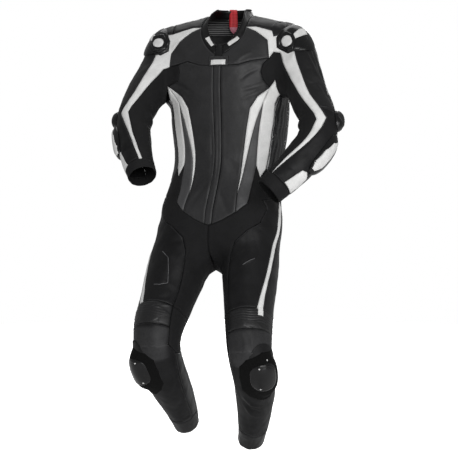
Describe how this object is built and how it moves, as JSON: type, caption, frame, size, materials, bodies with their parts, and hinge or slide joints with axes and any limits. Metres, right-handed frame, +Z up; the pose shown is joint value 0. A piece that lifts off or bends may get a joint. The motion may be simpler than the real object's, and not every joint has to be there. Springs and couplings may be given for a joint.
{
  "type": "motorcycle race suit",
  "caption": "One-piece leather race suit filled out as if worn, arms and knees bent, with open neck, cuffs and hems, stretch panels, stripes and hard sliders.",
  "frame": {"origin": "middle of the shoulders inside the base of the neck, where the wearer holds the suit up", "axes": "+Z up, -Y the way the chest faces, +X the wearer's left"},
  "size_m": [0.6988, 0.4659, 1.3281],
  "materials": {
    "black_leather": "soft sheen",
    "grey_leather": "soft sheen",
    "white_leather": "soft sheen",
    "stretch_textile": "matte",
    "mesh_lining": "matte",
    "red_webbing": "matte",
    "black_plastic": "semi-gloss",
    "zip_tape": "matte"
  },
  "bodies": {
    "root": {"back": "black_leather", "back_yoke": "black_leather", "calf_left": "black_leather", "calf_right": "black_leather", "collar": "black_leather", "cuff_left": "black_leather", "cuff_patch_left": "white_leather", "cuff_patch_right": "white_leather", "cuff_right": "black_leather", "elbow_slider_left": "black_plastic", "elbow_slider_right": "black_plastic", "flank_left": "grey_leather", "flank_right": "grey_leather", "forearm_guard_left": "black_plastic", "forearm_guard_right": "black_plastic", "forearm_outer_left": "black_leather", "forearm_outer_right": "black_leather", "front_left": "black_leather", "front_right": "black_leather", "hanging_loop": "red_webbing", "hem_left": "black_leather", "hem_right": "black_leather", "hip_stretch_left": "stretch_textile", "hip_stretch_right": "stretch_textile", "knee_back_left": "stretch_textile", "knee_back_right": "stretch_textile", "knee_slider_left": "black_plastic", "knee_slider_right": "black_plastic", "knee_stretch_left": "black_leather", "knee_stretch_right": "black_leather", "neck_lining": "mesh_lining", "neck_tab": "black_leather", "seat_left": "black_leather", "seat_right": "black_leather", "shin_left": "black_leather", "shin_right": "black_leather", "shoulder_cap_left": "black_plastic", "shoulder_cap_right": "black_plastic", "side_stretch_left": "stretch_textile", "side_stretch_right": "stretch_textile", "sleeve_inner_left": "stretch_textile", "sleeve_inner_right": "stretch_textile", "sleeve_outer_left": "black_leather", "sleeve_outer_right": "black_leather", "stripe_arm_left": "white_leather", "stripe_arm_right": "white_leather", "stripe_front_left": "white_leather", "stripe_front_right": "white_leather", "stripe_side_left": "white_leather", "stripe_side_right": "white_leather", "stripe_thigh_left": "white_leather", "stripe_thigh_right": "white_leather", "thigh_left": "black_leather", "thigh_right": "black_leather", "thigh_side_left": "black_leather", "thigh_side_right": "black_leather", "yoke_front_left": "black_leather", "yoke_front_right": "black_leather", "zip": "zip_tape", "zip_flap": "black_leather"}
  },
  "joints": []
}
